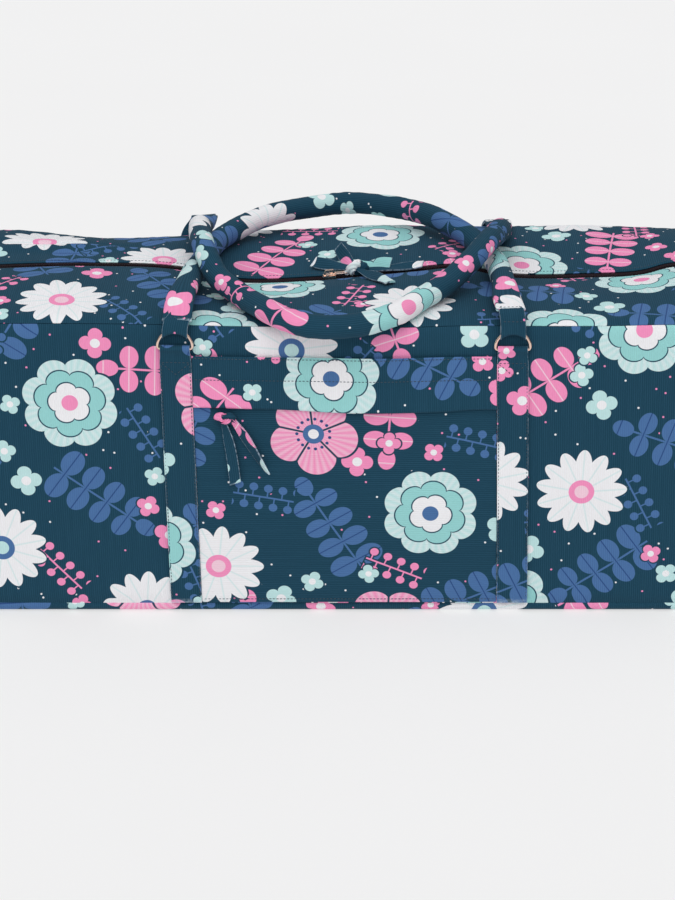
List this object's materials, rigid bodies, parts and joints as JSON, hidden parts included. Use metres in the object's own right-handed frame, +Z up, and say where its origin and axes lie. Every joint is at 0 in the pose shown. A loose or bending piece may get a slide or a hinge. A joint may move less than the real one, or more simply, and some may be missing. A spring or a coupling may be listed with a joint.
{
  "type": "yoga kit bag",
  "caption": "Long soft box bag in printed canvas with a zip along its top, a flapped front pocket, wire rings and stuffed roll handles, for carrying a mat and yoga kit.",
  "frame": {"origin": "middle of the base, on the surface the bag stands on", "axes": "+X along the bag to the right of its front, -Y out of the front, +Z up"},
  "size_m": [0.7164, 0.3188, 0.314],
  "materials": {
    "canvas": "printed ribbed canvas",
    "zip": "woven tape and nylon coil",
    "wire": "polished rose gold plate"
  },
  "bodies": {
    "root": {"front_panel": "canvas", "back_panel": "canvas", "base_panel": "canvas", "end_panel_left": "canvas", "end_panel_right": "canvas", "top_panel_front": "canvas", "top_panel_back": "canvas", "pocket_panel": "canvas", "pocket_flap": "canvas", "pocket_pull": "canvas", "zip_pull": "canvas", "strap_front_left": "canvas", "strap_front_right": "canvas", "strap_back_left": "canvas", "strap_back_right": "canvas", "handle_front": "canvas", "handle_back": "canvas", "zip_coil": "zip", "zip_tape_front": "zip", "zip_tape_back": "zip", "pocket_zip": "zip", "zip_slider": "wire", "zip_puller": "wire", "ring_front_left": "wire", "ring_front_right": "wire", "ring_back_left": "wire", "ring_back_right": "wire"}
  },
  "joints": []
}
